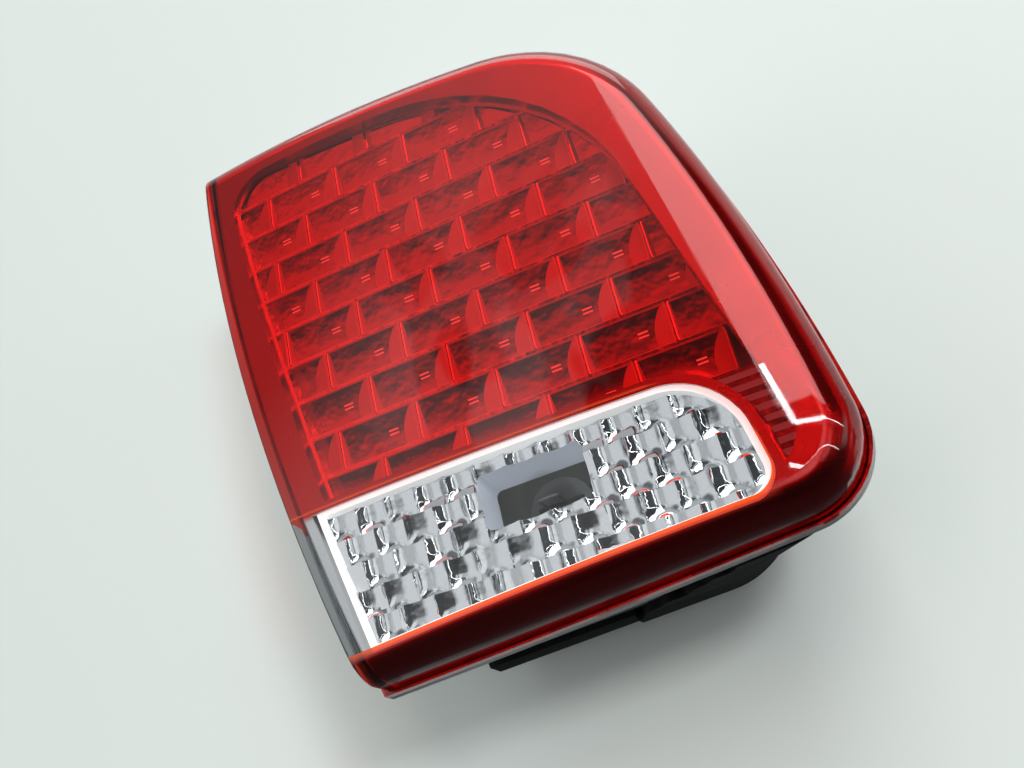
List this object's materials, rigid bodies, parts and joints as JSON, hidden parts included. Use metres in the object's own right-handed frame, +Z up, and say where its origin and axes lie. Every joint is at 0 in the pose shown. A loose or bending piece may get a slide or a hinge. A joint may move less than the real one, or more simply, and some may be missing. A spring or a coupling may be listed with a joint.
{
  "type": "tail light cluster",
  "caption": "Boot-lid tail lamp with a red cap lens over a brick-pattern reflector and a clear reversing window, on a drafted housing with mounting studs.",
  "frame": {"origin": "middle of the four mounting studs, on the plane of their collars", "axes": "+X right as seen from behind the car, +Y into the car along the studs, +Z up"},
  "size_m": [0.1896, 0.098, 0.2048],
  "materials": {
    "red_acrylic": "clear red moulding, high gloss",
    "clear_acrylic": "clear moulding, high gloss",
    "plated_trim": "vacuum plated plastic, satin",
    "plated_mirror": "vacuum plated plastic, bright",
    "circuit_board": "white solder mask",
    "led_package": "white moulding with clear resin",
    "zinc_steel": "zinc plated",
    "housing_plastic": "light grey moulding, fine grain",
    "butyl": "matt",
    "foam": "closed-cell foam, matt",
    "holder_plastic": "grey moulding",
    "seal_rubber": "smooth",
    "brass_contact": "bright",
    "bulb_glass": "clear",
    "tungsten": "drawn wire",
    "connector_plastic": "dark grey moulding",
    "vent_rubber": "smooth"
  },
  "bodies": {
    "root": {"red_lens": "red_acrylic", "clear_lens": "clear_acrylic", "bezel": "plated_trim", "brick_reflector": "plated_trim", "reverse_reflector": "plated_mirror", "led_board": "circuit_board", "led_chips": "led_package", "reflector_screws": "zinc_steel", "housing": "housing_plastic", "lens_sealant": "butyl", "body_gasket": "foam", "mounting_studs": "zinc_steel", "bulb_holder": "holder_plastic", "holder_seal": "seal_rubber", "holder_terminals": "brass_contact", "bulb_glass": "bulb_glass", "bulb_filament": "tungsten", "connector_shell": "connector_plastic", "connector_pins": "brass_contact", "vent_cap": "vent_rubber"}
  },
  "joints": []
}
